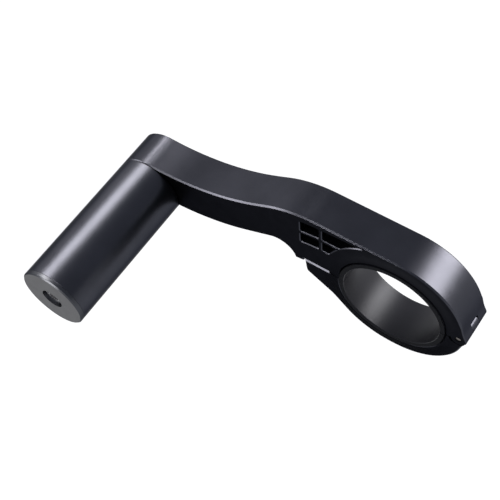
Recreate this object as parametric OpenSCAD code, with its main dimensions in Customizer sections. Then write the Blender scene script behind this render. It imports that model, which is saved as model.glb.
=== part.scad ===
// Handlebar extension mount for a bike computer: a hinged bar clamp, an S-shaped arm
// and a round accessory tube that stands out sideways from the arm's end.
// X runs along the arm towards the hinge, Y along the bar and the tube, Z up.
// The origin is the centre of the bar clamp.

/* [Bar clamp] */
// Diameter of the handlebar that the clamp grips
bar_d = 31.8; // [25:0.1:33]
// Wall of the soft liner between bar and metal
liner_wall = 1.6; // [1:0.1:2]
// Length of the liner along the bar
liner_w = 14; // [13.8:0.1:16]
// Radial play between liner and metal
liner_play = 0.03; // [0:0.01:0.06]
// Bevel at both ends of the liner's bore
liner_edge = 0.15; // [0.1:0.05:0.5]
// Metal left outside the liner, at the top and bottom of the ring
ring_wall = 4.5; // [4:0.1:6]
// How far the ring's outer arcs are shifted towards the hinge
ring_shift = 1; // [0:0.1:2]
// Gap between the two metal clamp halves when closed
split_gap = 0.4; // [0.2:0.1:0.8]
// Height of the raised rim round the bore, on each side face
boss_h = 0.4; // [0.2:0.1:0.8]
// Width of that raised rim, out from the metal bore
boss_wall = 3.5; // [2.5:0.1:4]
// Level part of the rim, beside the bore's bevel; the rest slopes to the side face
boss_land = 0.4; // [0.2:0.1:1]
// Bevel at both ends of the metal bore
bore_edge = 0.5; // [0.1:0.05:0.6]

/* [Arm] */
// Width of arm and strap along the bar
arm_w = 12.6; // [11:0.1:16]
// Bevel along the upper edges of the arm and the edges of the strap
edge = 0.45; // [0.3:0.05:0.8]
// Bevel along the arm's underside
under_edge = 0.3; // [0.2:0.05:0.6]
// Bevel on the rim of the arm's round end, where the tube meets it
end_edge = 0.3; // [0.2:0.1:0.6]
// Distance from the clamp centre to the tube axis, along X
reach = 88.6; // [80:0.5:110]
// How far the tube axis lies below the clamp centre
drop = 4.3; // [2:0.1:7]
// Slope of the arm's rise, top side, in degrees
rise_top = 27.5; // [24:0.5:30]
// Slope of the arm's rise, underside, in degrees
rise_under = 23.5; // [21:0.5:26]
// Radius of the long hollow curves beside the tube
low_r = 80; // [60:1:90]
// Radius of the crest where the top side levels out
crest_r = 36; // [20:1:40]
// Where the level top of the arm begins, out from the metal bore
crest_out = 8.5; // [5:0.5:12]
// Thickness of the neck below the top line, at the tube
neck_h = 14.5; // [12:0.1:16]
// Radius of the round hollow under the arm, before the clamp
hollow_r = 6.1; // [5:0.1:8]
// Where the foot of the arm ends, out from the metal bore
foot_out = 15.7; // [14:0.1:18]
// How far the foot's end hangs down in front of the strap's ear
foot_lip = 1.7; // [0.3:0.1:2]
// How much higher the lip lies at its end beside the ear
lip_rise = 0.4; // [0.1:0.1:0.8]
// Gap between that lip and the strap's ear
lip_gap = 0.3; // [0.25:0.05:0.8]
// Height of the hollow's top above the split plane
hollow_rise = 3.5; // [2:0.1:5]

/* [Windows] */
// Left side of the windows, out from the metal bore
win_out = 13.7; // [12:0.1:14]
// Middle of the upright web between the windows, out from the metal bore
web_out = 6.8; // [6:0.1:8]
// Thickness of the upright web
web_t = 1.1; // [0.8:0.1:2]
// Thickness of the level bar between upper and lower windows
bar_t = 1.2; // [0.8:0.1:2]
// How far the windows' sill lies below the arm's level top, at the web
sill_drop = 12.3; // [11:0.1:13]
// How far the bar's top lies below the arm's level top, at the web
bar_drop = 6.9; // [6:0.1:8]
// Slope of sill and bar in the left windows, in degrees
win_slope = 8; // [0:1:10]
// Metal left between the windows and the arm's level top, at the web
win_roof = 2.3; // [2:0.1:3.5]
// Rise of the right window's roof towards the ring
roof_rise = 0.8; // [0:0.1:1.5]
// Metal left between the windows and the clamp's bore
win_ring = 5.9; // [5:0.1:6.5]
// Bevel round the windows' rims
win_edge = 0.25; // [0.1:0.05:0.5]
// Corner radius of the windows
win_corner = 0.5; // [0.2:0.1:1]

/* [Hinge] */
// How far the hinge pin lies inside the ring's radius
pin_back = 0.5; // [0:0.1:0.8]
// Diameter of the hinge pin
pin_d = 2; // [1.5:0.1:2.4]
// Radius of the hinge eyes
eye_r = 2.6; // [2.4:0.1:3]
// Radius of the hollow curve between ring and eyes
flank_r = 16; // [8:1:40]
// Width of the strap's middle eye
knuckle_w = 3.6; // [3:0.1:6]
// Height above the pin at which the slot for the middle eye ends
slot_h = 3.4; // [3:0.1:4]
// Free play round the eyes
eye_gap = 0.15; // [0.1:0.05:0.25]
// Free play beside the middle eye, each side
side_gap = 0.1; // [0.05:0.05:0.2]
// Radial play of the pin in the middle eye
pin_play = 0.03; // [0.02:0.01:0.06]
// How far each end of the pin lies inside the arm's side face
pin_inset = 0.3; // [0:0.05:0.5]

/* [Strap ear and clamp bolt] */
// Distance from the metal bore to the clamp bolt's axis
bolt_out = 7; // [6.8:0.1:7.5]
// Outer end of the strap's ear, out from the clamp bolt's axis
ear_out = 5.5; // [5:0.1:6.5]
// Height of the ear's outer end
ear_h = 5.4; // [4.8:0.1:6]
// Slope of the ear's underside, in degrees
ear_slope = 31; // [28:1:34]
// Lean of the ear's outer end, in degrees
ear_lean = 6; // [0:1:12]
// Where the ear's underside leaves the ring, in degrees below the split plane
ear_from = 46; // [40:1:60]
// Radius of the curve between ring and ear
ear_blend = 9; // [4:1:12]
// Radius of the ear's lower corner
ear_corner = 1.8; // [0.5:0.1:3]
// Metal under the bolt's head, from the split plane down
seat_h = 4; // [3.5:0.1:4.4]
// Thread diameter of the clamp bolt
bolt_d = 4; // [3:0.5:4]
// Core diameter of its thread
bolt_core_d = 3.24; // [2.4:0.02:3.3]
// Length of the bolt under its head
bolt_len = 8; // [7:0.5:9]
// Metal left between the threaded hole and the windows' sill
hole_roof = 2.5; // [1.5:0.1:3]
// Bevel at the mouth of the threaded hole
mouth = 0.8; // [0.4:0.1:1]

/* [Tube] */
// Outer diameter of the tube and of the arm's round end
tube_d = 22.2; // [20:0.1:26]
// Wall of the tube
tube_wall = 2; // [1.2:0.1:3]
// Length of the tube, end cap not counted
tube_len = 48.5; // [30:0.1:80]
// Play of the spigots inside the tube
spigot_play = 0.05; // [0.03:0.01:0.15]
// Length of the arm's spigot
spigot_len = 5; // [3:0.5:8]

/* [End cap] */
// Thickness of the cap's flange
cap_t = 1.4; // [1.1:0.1:3]
// Bevel round the cap's face
cap_edge = 0.4; // [0.2:0.1:1]
// Length of the cap's plug inside the tube
plug_len = 8; // [6:0.5:12]
// How deep the screw's head lies below the cap's face
head_sink = 1; // [0.5:0.1:2]

/* [Tube screw] */
// Thread diameter of the tube screw
screw_d = 4; // [3:0.5:5]
// Length of the screw under its head
screw_len = 50; // [47:1:52]
// Depth of its threaded hole, from the arm's side face
screw_hole_h = 8.5; // [7:0.5:10]

/* [Screw heads] */
// Head diameter of both screws
head_d = 6.9; // [5.5:0.1:7.2]
// Head height of both screws
head_h = 4; // [3:0.1:4]
// Radial play round a sunk head
head_play = 0.2; // [0.1:0.05:0.3]
// Width across the flats of the hexagon socket
socket_w = 3; // [2:0.1:3.5]
// Depth of the hexagon socket
socket_h = 2.2; // [1.5:0.1:2.5]
// Radial play of a screw in its plain hole
shank_play = 0.2; // [0.1:0.05:0.3]

/* [Hidden] */

$fn = 96;
// Largest distance between a sampled arc and its chords
chord = 0.012;
// Overshoot of a cutting shape past the face that it opens
over = 1;

bar_r = bar_d / 2;
bore_r = bar_r + liner_wall;
ring_r = bore_r + ring_wall;
pin_x = ring_r - pin_back;
bolt_x = bore_r + bolt_out;
ear_x = bolt_x + ear_out;
foot_x = bore_r + foot_out;
crest_x = bore_r + crest_out;
win_left = bore_r + win_out;
web_x = bore_r + web_out;
sill_z = ring_r - sill_drop;
bar_z = ring_r - bar_drop;
boss_r = bore_r + boss_wall;
boss_w = arm_w + 2 * boss_h;
land_r = bore_r + bore_edge + boss_land;
// How far the rim's slope runs on below the side face
boss_sunk = 0.05;
half_gap = split_gap / 2;
tube_r = tube_d / 2;
spigot_r = tube_r - tube_wall - spigot_play;
eye_cut_r = eye_r + eye_gap;
end_z = -drop + tube_r;
under_z = end_z - neck_h;
head_r = head_d / 2;
// How much thinner a screw is drawn than its nominal thread, on the radius
thread_play = 0.05;
// Bevel on a screw's tip
tip = 0.5;
// Bevel round the top of a screw's head
head_end = 0.4;
// Bevel at both ends of the hinge pin
pin_end = 0.2;
// Bevel on the tube's rim beside the end cap
tube_edge = 0.15;
face_y = arm_w / 2;
cap_y = face_y + tube_len;
tip_y = cap_y + cap_t;
seat_y = tip_y - head_sink - head_h;

// Centre of the hollow curve that joins the ring's outer arc to the hinge eyes, and its directions from both
pin_out = pin_x - ring_shift;
flank_x = (pow(pin_out, 2) + pow(ring_r + flank_r, 2) - pow(eye_r + flank_r, 2)) / (2 * pin_out);
flank_deg = acos(flank_x / (ring_r + flank_r));
flank_c = [ring_shift + flank_x, (ring_r + flank_r) * sin(flank_deg)];
eye_deg = atan2(flank_c.y, flank_c.x - pin_x);
// The hollow's centre: its arc passes through the foot's end and peaks at hollow_rise
lip_z = half_gap - foot_lip;
hollow_z = hollow_rise - hollow_r;
hollow_x = -foot_x - sqrt(pow(hollow_r, 2) - pow(lip_z - hollow_z, 2));

function unit(v) = v / norm(v);
function polar(c, r, a) = c + r * [cos(a), sin(a)];
function steps(r, a) = max(1, ceil(abs(a) / (2 * acos(1 - min(chord / r, 0.5)))));
function arc(c, r, from, to) =
    let (n = steps(r, to - from))
    [for (i = [0:n]) polar(c, r, from + (to - from) * i / n)];

// The corner at b between a and c, rounded with radius r; radius 0 keeps it sharp
function rounded_corner(a, b, c, r) =
    r == 0 ? [b] :
    let (
        u = unit(b - a),
        w = unit(c - b),
        turn = atan2(u.x * w.y - u.y * w.x, u * w),
        start = b - u * r * tan(abs(turn) / 2),
        centre = start + [-u.y, u.x] * sign(turn) * r,
        from = atan2(start.y - centre.y, start.x - centre.x)
    )
    arc(centre, r, from, from + turn);

// An open path of [x, z, corner radius]; its two ends stay as they are
function rounded_path(p) =
    let (q = [for (v = p) [v.x, v.y]], n = len(p) - 1)
    concat([q[0]], [for (i = [1:n - 1]) each rounded_corner(q[i - 1], q[i], q[i + 1], p[i][2])], [q[n]]);

// The same for a closed outline
function rounded_outline(p) =
    let (q = [for (v = p) [v.x, v.y]], n = len(p))
    [for (i = [0:n - 1]) each rounded_corner(q[(i + n - 1) % n], q[i], q[(i + 1) % n], p[i][2])];

// A clockwise outline moved inwards, each point by its own depth
function inset(p, depths) =
    let (n = len(p))
    [for (i = [0:n - 1])
        let (
            u = unit(p[i] - p[(i + n - 1) % n]),
            w = unit(p[(i + 1) % n] - p[i]),
            a = [u.y, -u.x],
            b = [w.y, -w.x]
        )
        p[i] + depths[i] * (a + b) / (1 + a * b)];

// Drops points that repeat the one before
function distinct(p) =
    let (n = len(p))
    [for (i = [0:n - 1]) if (norm(p[i] - p[(i + n - 1) % n]) > 0.001) p[i]];

// Whether corner i of a clockwise outline can be cut off as a triangle; q lists the corners of p that are left
function is_ear(p, q, i) =
    let (n = len(q), a = p[q[(i + n - 1) % n]], b = p[q[i]], c = p[q[(i + 1) % n]])
    cross(b - a, c - a) < -0.000001 &&
    len([for (k = [2:n - 2]) let (v = p[q[(i + k) % n]])
        if (cross(b - a, v - a) <= 0 && cross(c - b, v - b) <= 0 && cross(a - c, v - c) <= 0) k]) == 0;

// The first corner from i on that can be cut off
function next_ear(p, q, i, left) =
    let (here = i % len(q))
    left == 0 || is_ear(p, q, here) ? here : next_ear(p, q, i + 1, left - 1);

// The triangles that fill a clockwise outline, which may be concave
function filled(p, q, i = 0) =
    len(q) == 3 ? [q] :
    let (
        n = len(q),
        e = next_ear(p, q, i, n),
        others = [for (k = [0:n - 1]) if (k != e) q[k]]
    )
    concat([[q[(e + n - 1) % n], q[e], q[(e + 1) % n]]], filled(p, others, e + 1));

// The same for all the corners of p, moved on by the number of points before them
function cap(p, before) = [for (t = filled(p, [for (i = [0:len(p) - 1]) i])) t + [before, before, before]];
function turned(triangles) = [for (t = triangles) [t[2], t[1], t[0]]];

function level(p, y) = [for (i = [0:len(p) - 1]) [p[i].x, y[i], p[i].y]];

// A plate across Y with a clockwise outline, its edges bevelled by the given depths
module bevelled_plate(outline, width, depths) {
    n = len(outline);
    inner = inset(outline, depths);
    front = [for (d = depths) -width / 2 + abs(d)];
    back = [for (d = depths) width / 2 - abs(d)];
    ends = [for (d = depths) width / 2];
    points = concat(level(inner, -ends), level(outline, front), level(outline, back), level(inner, ends));
    bands = [for (k = [0, n, 2 * n], i = [0:n - 1])
        let (j = (i + 1) % n)
        [k + i, k + j, k + n + j, k + n + i]];
    triangles = [for (b = bands) each [[b[0], b[2], b[1]], [b[0], b[3], b[2]]]];
    polyhedron(points, concat(cap(inner, 0), triangles, turned(cap(inner, 3 * n))), convexity = 8);
}

// A cylinder along Y, from y0 to y1
module rod(r, y0, y1) {
    translate([0, y1, 0]) rotate([90, 0, 0]) cylinder(r = r, h = y1 - y0);
}

// A profile of [radius, y] points, turned round the Y axis
module lathe(profile) {
    rotate([-90, 0, 0]) rotate_extrude() polygon(profile);
}

module at_pin() {
    translate([pin_x, 0, 0]) children();
}

module at_tube() {
    translate([-reach, 0, -drop]) children();
}

// The raised rim round the bore, one half of it above or below the split plane
module rim(sign) {
    half = boss_w / 2;
    low = half - boss_h - boss_sunk;
    low_r = boss_r + boss_sunk * (boss_r - land_r) / boss_h;
    intersection() {
        lathe([[bar_r, -half], [land_r, -half], [low_r, -low], [low_r, low], [land_r, half], [bar_r, half]]);
        translate([-ring_r, -boss_w, sign > 0 ? half_gap : -half_gap - ring_r])
            cube([2 * ring_r, 2 * boss_w, ring_r]);
    }
}

// The metal bore with bevelled ends
module bore_cut() {
    end = boss_w / 2 + over;
    flare = bore_r + bore_edge + over;
    low = boss_w / 2 - bore_edge;
    lathe([[0, -end], [flare, -end], [bore_r, -low], [bore_r, low], [flare, end], [0, end]]);
}

// Clockwise outline of the arm, from the neck's underside round the end and back along the foot
function arm_outline() =
    let (
        top_run = (ring_r - end_z) / tan(rise_top),
        crest_corner = [-crest_x - crest_r * tan(rise_top / 2), ring_r],
        low_corner = [crest_corner.x - top_run, end_z],
        hollow_touch = polar([hollow_x, hollow_z], hollow_r, 90 + rise_under),
        under_corner = [hollow_touch.x - (hollow_touch.y - under_z) / tan(rise_under), under_z],
        end_c = [-reach, -drop],
        under_path = rounded_path([
            [hollow_touch.x, hollow_touch.y, 0],
            [under_corner.x, under_corner.y, low_r],
            [under_corner.x - low_r, under_z, 0]
        ]),
        // The underside stops where it runs into the round end
        under = [for (v = under_path) if (v.x > -reach && norm(v - end_c) > tube_r + edge) v],
        neck_a = asin((under[len(under) - 1].y - end_c.y) / tube_r),
        eye_a = asin(half_gap / eye_r)
    )
    distinct(concat(
        arc(end_c, tube_r, 360 + neck_a, 90),
        rounded_path([
            [-reach, end_z, 0],
            [low_corner.x, low_corner.y, low_r],
            [crest_corner.x, ring_r, crest_r],
            [ring_shift, ring_r, 0]
        ]),
        arc([ring_shift, 0], ring_r, 90, flank_deg),
        arc(flank_c, flank_r, 180 + flank_deg, 180 + eye_deg),
        arc([pin_x, 0], eye_r, eye_deg, -180 - eye_a),
        [[-ear_x - lip_gap, half_gap], [-ear_x - lip_gap, lip_z + lip_rise]],
        arc([hollow_x, hollow_z], hollow_r, asin((lip_z - hollow_z) / hollow_r), 90 + rise_under),
        under
    ));

// Bevel of each point of the arm's outline, finer round the tube's end, the underside and the hinge eye
function arm_bevels(p) =
    [for (v = p)
        norm(v - [-reach, -drop]) < tube_r + 0.01 ? end_edge :
        norm(v - [pin_x, 0]) < eye_r + 0.01 || v.y < end_z - edge ? under_edge : edge];

// One window's outline, clockwise from its lower left corner
function window(corners) = rounded_outline([for (c = corners) [c.x, c.y, win_corner]]);

module windows() {
    ring = bore_r + win_ring;
    web_l = -web_x - web_t / 2;
    web_r = -web_x + web_t / 2;
    fall = tan(win_slope) * (win_left + web_l);
    bar_low = bar_z - bar_t;
    roof = ring_r - win_roof;
    function on_ring(z) = [-sqrt(pow(ring, 2) - pow(z, 2)), z];
    function ring_angle(z) = 180 - asin(z / ring);
    left_low = [[-win_left, sill_z - fall], [-win_left, bar_low - fall], [web_l, bar_low], [web_l, sill_z]];
    left_high = [[-win_left, bar_z - fall], [-win_left, roof - fall], [web_l, roof], [web_l, bar_z]];
    high = roof + roof_rise;
    right_low = concat(
        rounded_path([
            [(web_r + on_ring(sill_z).x) / 2, sill_z, 0],
            [web_r, sill_z, win_corner],
            [web_r, bar_low, win_corner],
            on_ring(bar_low)
        ]),
        arc([0, 0], ring, ring_angle(bar_low), ring_angle(sill_z))
    );
    right_high = concat(
        rounded_path([
            [(web_r + on_ring(bar_z).x) / 2, bar_z, 0],
            [web_r, bar_z, win_corner],
            [web_r, roof, win_corner],
            on_ring(high)
        ]),
        arc([0, 0], ring, ring_angle(high), ring_angle(bar_z))
    );
    for (shape = [window(left_low), window(left_high), distinct(right_low), distinct(right_high)])
        window_cut(shape);
}

// A through cut whose rims are bevelled at both side faces
module window_cut(outline) {
    rotate([90, 0, 0]) linear_extrude(height = arm_w + 2 * over, center = true) polygon(outline);
    for (side = [0, 1]) mirror([0, side, 0]) window_rim(outline);
}

// The bevel cut at one side face
module window_rim(outline) {
    n = len(outline);
    wide = inset(outline, [for (v = outline) -win_edge - over]);
    near = [for (v = outline) -face_y - over];
    deep = [for (v = outline) -face_y + win_edge];
    points = concat(level(wide, near), level(outline, deep));
    sides = [for (i = [0:n - 1]) let (j = (i + 1) % n) each [[i, n + j, j], [i, n + i, n + j]]];
    polyhedron(points, concat(cap(wide, 0), sides, turned(cap(outline, n))), convexity = 4);
}

// Arm, machined from one piece with the upper half of the clamp
module arm() {
    outline = arm_outline();
    slot_w = knuckle_w + 2 * side_gap;
    hole_z = sill_z - hole_roof;
    mouth_r = bolt_d / 2 + mouth;
    color([0.17, 0.17, 0.2]) difference() {
        union() {
            bevelled_plate(outline, arm_w, arm_bevels(outline));
            rim(1);
            at_tube() rod(spigot_r, -face_y - spigot_len, 0);
        }
        bore_cut();
        windows();
        // Slot for the strap's middle eye
        at_pin() rod(eye_cut_r, -slot_w / 2, slot_w / 2);
        translate([bore_r, -slot_w / 2, -eye_r - over]) cube([ring_r, slot_w, eye_r + over]);
        translate([pin_x, -slot_w / 2, -over]) cube([ring_r, slot_w, over + slot_h]);
        at_pin() rod(pin_d / 2, -arm_w, arm_w);
        // Threaded hole for the clamp bolt
        translate([-bolt_x, 0, -over]) cylinder(d = bolt_d, h = over + hole_z);
        translate([-bolt_x, 0, half_gap - over])
            cylinder(r1 = mouth_r + over, r2 = bolt_d / 2, h = over + mouth);
        // Threaded hole for the tube screw
        at_tube() rod(screw_d / 2, -face_y - spigot_len - over, -face_y + screw_hole_h);
    }
}

// Clockwise outline of the strap, from the ear's outer top corner round to the hinge and the ring
function strap_outline() =
    let (
        ear_low = [-ear_x + tan(ear_lean) * ear_h, -ear_h - half_gap],
        blend_a = 180 + ear_from,
        ring_touch = polar([0, 0], ring_r, blend_a),
        // Where the ear's underside and the ring's tangent at ring_touch cross
        tangent = [cos(blend_a - 90), sin(blend_a - 90)],
        slope = [cos(-ear_slope), sin(-ear_slope)],
        d = ring_touch - ear_low,
        k = (d.x * tangent.y - d.y * tangent.x) / (slope.x * tangent.y - slope.y * tangent.x),
        blend = ear_low + slope * k
    )
    distinct(concat(
        [[-ear_x, -half_gap], [pin_x, -half_gap]],
        arc([flank_c.x, -flank_c.y], flank_r, 180 - eye_deg, 180 - flank_deg),
        arc([ring_shift, 0], ring_r, -flank_deg, -90),
        arc([0, 0], ring_r, 270, blend_a),
        rounded_path([[ring_touch.x, ring_touch.y, 0], [blend.x, blend.y, ear_blend],
            [ear_low.x, ear_low.y, ear_corner], [-ear_x, -half_gap, 0]])
    ));

// Lower clamp half: ring half, bolt ear and the middle eye of the hinge
module clamp_strap() {
    outline = strap_outline();
    depths = [for (v = outline) v.x > pin_x && v.y > -eye_r ? under_edge : edge];
    arm_eye_w = boss_w - knuckle_w / 2;
    color([0.15, 0.15, 0.18]) difference() {
        union() {
            difference() {
                union() {
                    bevelled_plate(outline, arm_w, depths);
                    rim(-1);
                }
                // Room for the arm's two outer eyes
                for (y = [-boss_w, knuckle_w / 2]) at_pin() rod(eye_cut_r, y, y + arm_eye_w);
            }
            at_pin() rod(eye_r, -knuckle_w / 2, knuckle_w / 2);
        }
        bore_cut();
        at_pin() rod(pin_d / 2 + pin_play, -arm_w, arm_w);
        // Plain hole and sunk seat for the clamp bolt
        translate([-bolt_x, 0, -ring_r]) cylinder(d = bolt_d + 2 * shank_play, h = 2 * ring_r);
        translate([-bolt_x, 0, -ring_r]) cylinder(r = head_r + head_play, h = ring_r - seat_h - half_gap);
    }
}

// Plain pin, pressed into the arm's eyes
module hinge_pin() {
    half = arm_w / 2 - pin_inset;
    r = pin_d / 2;
    color([0.5, 0.5, 0.51]) at_pin() lathe([
        [0, -half],
        [r - pin_end, -half],
        [r, pin_end - half],
        [r, half - pin_end],
        [r - pin_end, half],
        [0, half]
    ]);
}

// Socket head screw along +Z with its bearing face at z = 0, thinner beyond its shank
module socket_screw(shank_r, shank_h, core_r, length) {
    difference() {
        rotate_extrude() polygon(distinct([
            [0, -head_h],
            [head_r - head_end, -head_h],
            [head_r, head_end - head_h],
            [head_r, 0],
            [shank_r, 0],
            [shank_r, shank_h],
            [core_r, shank_h],
            [core_r, length - tip],
            [core_r - tip, length],
            [0, length]
        ]));
        translate([0, 0, -head_h - over]) cylinder(d = socket_w / cos(30), h = socket_h + over, $fn = 6);
    }
}

// Clamp bolt, from below through the ear; its thread is drawn at core size inside the arm
module clamp_bolt() {
    color([0.72, 0.73, 0.75]) translate([-bolt_x, 0, -seat_h - half_gap])
        socket_screw(bolt_d / 2 - thread_play, seat_h, bolt_core_d / 2, bolt_len);
}

// One half of the soft liner; sign is 1 for the upper half and -1 for the lower one
module liner_half(sign) {
    gap = half_gap / 2;
    back_r = bore_r - liner_play;
    mouth_r = bar_r + liner_edge;
    half = liner_w / 2;
    low = half - liner_edge;
    intersection() {
        lathe([[bar_r, -low], [mouth_r, -half], [back_r, -half], [back_r, half], [mouth_r, half], [bar_r, low]]);
        translate([-bore_r, -liner_w, sign > 0 ? gap : -gap - bore_r])
            cube([2 * bore_r, 2 * liner_w, bore_r]);
    }
}

module liner_upper() {
    color([0.14, 0.14, 0.16]) liner_half(1);
}

module liner_lower() {
    color([0.14, 0.14, 0.16]) liner_half(-1);
}

// Accessory tube, butted against the arm's side face
module tube() {
    inner = tube_r - tube_wall;
    color([0.2, 0.21, 0.24]) at_tube() lathe([
        [inner, -cap_y],
        [tube_r - tube_edge, -cap_y],
        [tube_r, tube_edge - cap_y],
        [tube_r, -face_y - end_edge],
        [tube_r - end_edge, -face_y],
        [inner, -face_y]
    ]);
}

// End cap: a flange over the tube's end and a plug inside it, with the screw head sunk in its face
module end_cap() {
    plug_y = cap_y - plug_len;
    sink_r = head_r + head_play;
    hole_r = screw_d / 2 + shank_play;
    color([0.35, 0.35, 0.36]) at_tube() lathe([
        [sink_r, -tip_y],
        [tube_r - cap_edge, -tip_y],
        [tube_r, cap_edge - tip_y],
        [tube_r, -cap_y],
        [spigot_r, -cap_y],
        [spigot_r, -plug_y],
        [hole_r, -plug_y],
        [hole_r, -seat_y],
        [sink_r, -seat_y]
    ]);
}

// Long socket screw that pulls cap and tube against the arm
module tube_screw() {
    thread_r = screw_d / 2 - thread_play;
    color([0.75, 0.75, 0.76]) at_tube() translate([0, -seat_y, 0]) rotate([-90, 0, 0])
        socket_screw(thread_r, over, thread_r, screw_len);
}

arm();
clamp_strap();
hinge_pin();
clamp_bolt();
liner_upper();
liner_lower();
tube();
end_cap();
tube_screw();
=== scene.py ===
"""Looks for the handlebar extension mount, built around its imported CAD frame."""
import math

import bpy
from mathutils import Matrix, Quaternion, Vector

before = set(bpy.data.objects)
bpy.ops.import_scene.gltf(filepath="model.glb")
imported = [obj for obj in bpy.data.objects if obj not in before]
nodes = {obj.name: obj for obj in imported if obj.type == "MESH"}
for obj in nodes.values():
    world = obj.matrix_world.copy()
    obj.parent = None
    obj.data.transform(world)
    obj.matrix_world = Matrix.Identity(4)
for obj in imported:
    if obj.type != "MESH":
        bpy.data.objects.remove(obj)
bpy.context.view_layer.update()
scene = bpy.context.scene
scene.view_settings.view_transform = "Standard"

# The photograph's camera, worked out from the bore's two rims and the tube's outlines
SENSOR_MM = 36
LENS_MM = 77.83
CAMERA_NEAR = 0.01
CAMERA_PLACE = (0.0680, -0.1492, 0.2739)
CAMERA_RIGHT = (0.8267, 0.5591, -0.0634)
CAMERA_UP = (-0.4422, 0.7153, 0.5411)
CAMERA_BACK = (0.3479, -0.4193, 0.8385)

# The floor is low enough for the opened strap
FLOOR_Z = -0.0535
FLOOR_REACH = 3.0
WALL_HEIGHT = 0.8
FLOOR_COLOUR = (0.8, 0.8, 0.8, 1)
FLOOR_SEEN_COLOUR = (0.3, 0.3, 0.3, 1)
FLOOR_GLOW = 0.94
WORLD_COLOUR = (0.94, 0.98, 1.12, 1)
WORLD_STRENGTH = 0.42

LAMP_COLOUR = (1.0, 0.955, 0.9)
LAMP_DISTANCE = 0.5
MIDDLE = (-0.038, -0.018, 0.0)
TUBE_SIDE = ("tube", "end_cap", "tube_screw")
CLAMP_SIDE = ("arm", "clamp_strap", "hinge_pin", "clamp_bolt", "liner_upper", "liner_lower")

# Nodes with faceted bends, the edge angle up to which they are shaded smooth, and the gap that is closed
FACETED = ("arm", "clamp_strap")
SHARP_DEGREES = 30
MERGE_DISTANCE = 0.000001

# A noise's values lie mostly between these two
NOISE_LOW = 0.3
NOISE_HIGH = 0.7
SHADE_SCALE = 90
SHADE_DETAIL = 3
GRAIN_DETAIL = 2
FACE_SCALE = 300
FACE_DETAIL = 4
FACE_SPREAD = 0.06
# The share of Y in its normal from which a face counts as lying across Y
ACROSS_Y = 0.9
# The two colour inputs and the colour output of a Mix node
MIX_A = 6
MIX_B = 7
MIX_RESULT = 2
# Tint of a metal where it is seen at a glancing angle
GREY_EDGE = (0.38, 0.38, 0.38)


def make_camera():
    data = bpy.data.cameras.new("camera")
    data.sensor_width = SENSOR_MM
    data.lens = LENS_MM
    data.clip_start = CAMERA_NEAR
    camera = bpy.data.objects.new("camera", data)
    scene.collection.objects.link(camera)
    turn = Matrix((CAMERA_RIGHT, CAMERA_UP, CAMERA_BACK)).transposed().to_4x4()
    camera.matrix_world = Matrix.Translation(CAMERA_PLACE) @ turn
    scene.camera = camera


def aim(lamp, place, towards):
    turn = (-towards).to_track_quat("Z", "Y").to_matrix().to_4x4()
    lamp.matrix_world = Matrix.Translation(place) @ turn


def place_lamp(name, kind, target, direction, distance, watts, only):
    """A lamp that shines on the target from the given direction, and where nodes are named, on them only."""
    data = bpy.data.lights.new(name, kind)
    data.energy = watts
    data.color = LAMP_COLOUR
    lamp = bpy.data.objects.new(name, data)
    scene.collection.objects.link(lamp)
    place = Vector(target) + Vector(direction).normalized() * distance
    aim(lamp, place, Vector(target) - place)
    if only:
        group = bpy.data.collections.new(name)
        for node in only:
            group.objects.link(nodes[node])
        lamp.light_linking.receiver_collection = group
    return lamp


def soft_box(name, target, direction, size, watts, only=(), distance=LAMP_DISTANCE):
    """A rectangular soft lamp."""
    lamp = place_lamp(name, "AREA", target, direction, distance, watts, only)
    lamp.data.shape = "RECTANGLE"
    lamp.data.size, lamp.data.size_y = size


def edged_spot(name, target, direction, width, blend, radius, watts, only=()):
    """A spot whose beam ends on the line through the target along Y, and lights what lies left of it."""
    lamp = place_lamp(name, "SPOT", target, direction, LAMP_DISTANCE, watts, only)
    lamp.data.spot_size = math.radians(width)
    lamp.data.spot_blend = blend
    lamp.data.shadow_soft_size = radius
    place = lamp.matrix_world.translation.copy()
    ray = (Vector(target) - place).normalized()
    across = Vector((0, 1, 0)) - ray * ray.y
    turn = Quaternion(across.normalized(), math.radians(width) / 2)
    aim(lamp, place, turn @ ray)


def new_material(name):
    material = bpy.data.materials.new(name)
    material.use_nodes = True
    tree = material.node_tree
    tree.nodes.clear()
    output = tree.nodes.new("ShaderNodeOutputMaterial")
    return material, tree, output


def add(tree, kind, **values):
    """A node with its properties and plain input values set."""
    node = tree.nodes.new(kind)
    for key, value in values.items():
        if hasattr(node, key):
            setattr(node, key, value)
        else:
            node.inputs[key.replace("_", " ")].default_value = value
    return node


def smooth_group():
    """Geometry nodes that shade a faceted solid smooth, apart from its real edges."""
    group = bpy.data.node_groups.new("smooth_bends", "GeometryNodeTree")
    group.interface.new_socket("Geometry", in_out="INPUT", socket_type="NodeSocketGeometry")
    group.interface.new_socket("Geometry", in_out="OUTPUT", socket_type="NodeSocketGeometry")
    link = group.links.new
    source = group.nodes.new("NodeGroupInput")
    target = group.nodes.new("NodeGroupOutput")
    plain = add(group, "GeometryNodeRemoveAttribute", Name="custom_normal")
    merge = add(group, "GeometryNodeMergeByDistance", Distance=MERGE_DISTANCE)
    faces = add(group, "GeometryNodeSetShadeSmooth", domain="FACE")
    edges = add(group, "GeometryNodeSetShadeSmooth", domain="EDGE", Shade_Smooth=False)
    angle = group.nodes.new("GeometryNodeInputMeshEdgeAngle")
    sharp = add(group, "FunctionNodeCompare", operation="GREATER_THAN", B=math.radians(SHARP_DEGREES))
    link(source.outputs[0], plain.inputs["Geometry"])
    link(plain.outputs["Geometry"], merge.inputs["Geometry"])
    link(merge.outputs["Geometry"], faces.inputs["Geometry"])
    link(faces.outputs["Geometry"], edges.inputs["Geometry"])
    link(angle.outputs["Unsigned Angle"], sharp.inputs["A"])
    link(sharp.outputs["Result"], edges.inputs["Selection"])
    link(edges.outputs["Geometry"], target.inputs[0])
    return group


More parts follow.
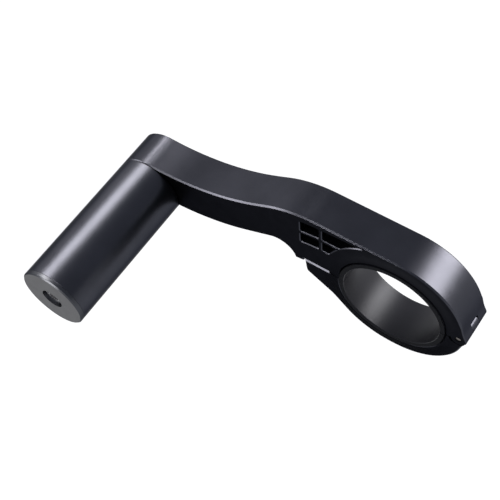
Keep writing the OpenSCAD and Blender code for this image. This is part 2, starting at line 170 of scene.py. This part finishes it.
def noise_ramp(tree, place, scale, detail, colour, spread):
    """A slow noise that makes the colour darker and lighter by the spread."""
    noise = add(tree, "ShaderNodeTexNoise", Scale=scale, Detail=detail)
    ramp = tree.nodes.new("ShaderNodeValToRGB")
    low, high = ramp.color_ramp.elements
    low.position = NOISE_LOW
    high.position = NOISE_HIGH
    low.color = [c * (1 - spread) for c in colour] + [1]
    high.color = [c * (1 + spread) for c in colour] + [1]
    tree.links.new(place.outputs["Object"], noise.inputs["Vector"])
    tree.links.new(noise.outputs["Fac"], ramp.inputs["Fac"])
    return ramp.outputs["Color"]


def finish_material(name, colour, roughness, metallic=1.0, tint=(1, 1, 1), grain=7000,
                    grain_depth=0.000002, spread=0.1, rough_spread=0.04, specular=0.5,
                    face_colour=None, face_roughness=0.5):
    """Metal or rubber with fine surface grain, and slow changes in colour and gloss.
    With a face colour, the flat faces across Y get that colour and roughness instead; where that colour is
    darker than the main one, it is painted shade."""
    material, tree, output = new_material(name)
    link = tree.links.new
    shader = add(tree, "ShaderNodeBsdfPrincipled", Metallic=metallic, Specular_Tint=(*tint, 1),
                 Specular_IOR_Level=specular)
    place = tree.nodes.new("ShaderNodeTexCoord")
    shade = noise_ramp(tree, place, SHADE_SCALE, SHADE_DETAIL, colour, spread)
    fine = add(tree, "ShaderNodeTexNoise", Scale=grain, Detail=GRAIN_DETAIL)
    link(place.outputs["Object"], fine.inputs["Vector"])
    gloss = add(tree, "ShaderNodeMapRange", From_Min=NOISE_LOW, From_Max=NOISE_HIGH,
                To_Min=roughness - rough_spread, To_Max=roughness + rough_spread)
    link(fine.outputs["Fac"], gloss.inputs["Value"])
    rough = gloss.outputs["Result"]
    if face_colour:
        parts = tree.nodes.new("ShaderNodeSeparateXYZ")
        link(place.outputs["Normal"], parts.inputs[0])
        along = add(tree, "ShaderNodeMath", operation="ABSOLUTE")
        link(parts.outputs["Y"], along.inputs[0])
        faces = add(tree, "ShaderNodeMath", operation="GREATER_THAN")
        faces.inputs[1].default_value = ACROSS_Y
        link(along.outputs[0], faces.inputs[0])
        mix = add(tree, "ShaderNodeMix", data_type="RGBA")
        link(faces.outputs[0], mix.inputs["Factor"])
        link(shade, mix.inputs[MIX_A])
        link(noise_ramp(tree, place, FACE_SCALE, FACE_DETAIL, face_colour, FACE_SPREAD), mix.inputs[MIX_B])
        shade = mix.outputs[MIX_RESULT]
        change = add(tree, "ShaderNodeMapRange", To_Max=face_roughness - roughness)
        link(faces.outputs[0], change.inputs["Value"])
        total = add(tree, "ShaderNodeMath", operation="ADD")
        link(rough, total.inputs[0])
        link(change.outputs["Result"], total.inputs[1])
        rough = total.outputs[0]
    link(shade, shader.inputs["Base Color"])
    link(rough, shader.inputs["Roughness"])
    bump = add(tree, "ShaderNodeBump", Strength=1.0, Distance=grain_depth)
    link(fine.outputs["Fac"], bump.inputs["Height"])
    link(bump.outputs["Normal"], shader.inputs["Normal"])
    link(shader.outputs["BSDF"], output.inputs["Surface"])
    return material


def floor_material():
    """White to the camera and in reflections, with the object's shadow kept."""
    material, tree, output = new_material("floor")
    link = tree.links.new
    path = tree.nodes.new("ShaderNodeLightPath")
    seen = add(tree, "ShaderNodeMath", operation="MAXIMUM")
    link(path.outputs["Is Camera Ray"], seen.inputs[0])
    link(path.outputs["Is Glossy Ray"], seen.inputs[1])
    any_seen = add(tree, "ShaderNodeMath", operation="MAXIMUM")
    link(seen.outputs[0], any_seen.inputs[0])
    link(path.outputs["Is Transmission Ray"], any_seen.inputs[1])
    plain = add(tree, "ShaderNodeBsdfDiffuse", Color=FLOOR_COLOUR)
    pale = add(tree, "ShaderNodeBsdfDiffuse", Color=FLOOR_SEEN_COLOUR)
    glow = add(tree, "ShaderNodeEmission", Strength=FLOOR_GLOW)
    white = tree.nodes.new("ShaderNodeAddShader")
    link(pale.outputs[0], white.inputs[0])
    link(glow.outputs[0], white.inputs[1])
    choice = tree.nodes.new("ShaderNodeMixShader")
    link(any_seen.outputs[0], choice.inputs[0])
    link(plain.outputs[0], choice.inputs[1])
    link(white.outputs[0], choice.inputs[2])
    link(choice.outputs[0], output.inputs["Surface"])
    return material


def make_floor():
    """The floor, with a low wall far off on each side, so that low views end in white too."""
    mesh = bpy.data.meshes.new("floor")
    sides = [(x * FLOOR_REACH, y * FLOOR_REACH) for x, y in ((-1, -1), (1, -1), (1, 1), (-1, 1))]
    corners = [(x, y, z) for z in (FLOOR_Z, FLOOR_Z + WALL_HEIGHT) for x, y in sides]
    walls = [(i, i + 4, (i + 1) % 4 + 4, (i + 1) % 4) for i in range(4)]
    mesh.from_pydata(corners, [], [(0, 1, 2, 3)] + walls)
    floor = bpy.data.objects.new("floor", mesh)
    scene.collection.objects.link(floor)
    mesh.materials.append(floor_material())


def make_world():
    world = bpy.data.worlds.new("world")
    scene.world = world
    world.use_nodes = True
    background = world.node_tree.nodes["Background"]
    background.inputs["Color"].default_value = WORLD_COLOUR
    background.inputs["Strength"].default_value = WORLD_STRENGTH


def dress(name, material):
    mesh = nodes[name].data
    mesh.materials.clear()
    mesh.materials.append(material)


make_camera()
make_world()
make_floor()

# The bright stripe along the tube
soft_box("lamp_tube", target=(-0.0886, -0.03, 0.0068), direction=(-0.5, 0.37, 0.78),
         size=(0.34, 0.2), watts=3.4, only=TUBE_SIDE)
# The wide glow on the ring's upper flank
soft_box("lamp_ring", target=(0.01, 0, 0.019), direction=(0.6, 0.49, 0.63),
         size=(0.34, 0.24), watts=4.3, only=CLAMP_SIDE, distance=0.45)
# The cap's face and the strap
soft_box("lamp_front", target=MIDDLE, direction=(-0.33, -0.84, 0.42),
         size=(0.3, 0.2), watts=2.5, only=("clamp_strap",) + TUBE_SIDE)
# The near bevel along the arm's bend
soft_box("lamp_bend", target=(-0.045, -0.0063, 0.012), direction=(-0.74, -0.63, 0.15),
         size=(0.2, 0.16), watts=1.5, only=("arm",))
# The windows' sills
edged_spot("lamp_sills", target=(-0.0225, -0.0063, 0.012), direction=(-0.35, -0.81, 0.39),
           width=26, blend=0.1, radius=0.05, watts=3.0, only=("arm",))
# The stripe on the arm's end, with its sharp right edge
edged_spot("lamp_end", target=(-0.0876, 0, 0.0068), direction=(-0.54, 0.43, 0.73),
           width=30, blend=0.02, radius=0.002, watts=3.4, only=CLAMP_SIDE)
# The soft change from that stripe to the arm's dark top
edged_spot("lamp_fill", target=(-0.03, 0, 0.0068), direction=(-0.52, 0.44, 0.73),
           width=40, blend=1.0, radius=0.07, watts=1.9, only=CLAMP_SIDE)
# A faint light from the left on everything
soft_box("lamp_left", target=(-0.06, 0, 0.01), direction=(-0.8, 0.45, 0.36), size=(0.5, 0.3), watts=0.44)

smooth = smooth_group()
for name in FACETED:
    bends = nodes[name].modifiers.new("smooth_bends", "NODES")
    bends.node_group = smooth

# The darker face colour on the flat faces across Y is painted shade on the arm's and strap's side faces.
anodised = finish_material("black_anodised", (0.0445, 0.0462, 0.0565), 0.33, tint=GREY_EDGE,
                           face_colour=(0.016, 0.0165, 0.0195), face_roughness=0.38)
tube_finish = finish_material("tube_anodised", (0.0465, 0.0485, 0.059), 0.32, tint=GREY_EDGE)
cap_finish = finish_material("cap_metal", (0.06, 0.063, 0.072), 0.35, tint=GREY_EDGE,
                             face_colour=(0.16, 0.163, 0.17), face_roughness=0.6)
# The liner's end faces across Y get a darker colour, which is painted shade, and a higher roughness.
liner_finish = finish_material("liner_rubber", (0.012, 0.012, 0.0145), 0.4, metallic=0.0,
                               tint=(0.86, 0.9, 1), grain=3000, grain_depth=0.000004, specular=0.27,
                               face_colour=(0.004, 0.004, 0.005), face_roughness=0.96)
steel = finish_material("steel", (0.6, 0.6, 0.61), 0.25)
pin_finish = finish_material("pin_steel", (0.16, 0.15, 0.14), 0.45)
dress("arm", anodised)
dress("clamp_strap", anodised)
dress("tube", tube_finish)
dress("end_cap", cap_finish)
dress("liner_upper", liner_finish)
dress("liner_lower", liner_finish)
dress("hinge_pin", pin_finish)
dress("clamp_bolt", steel)
dress("tube_screw", steel)
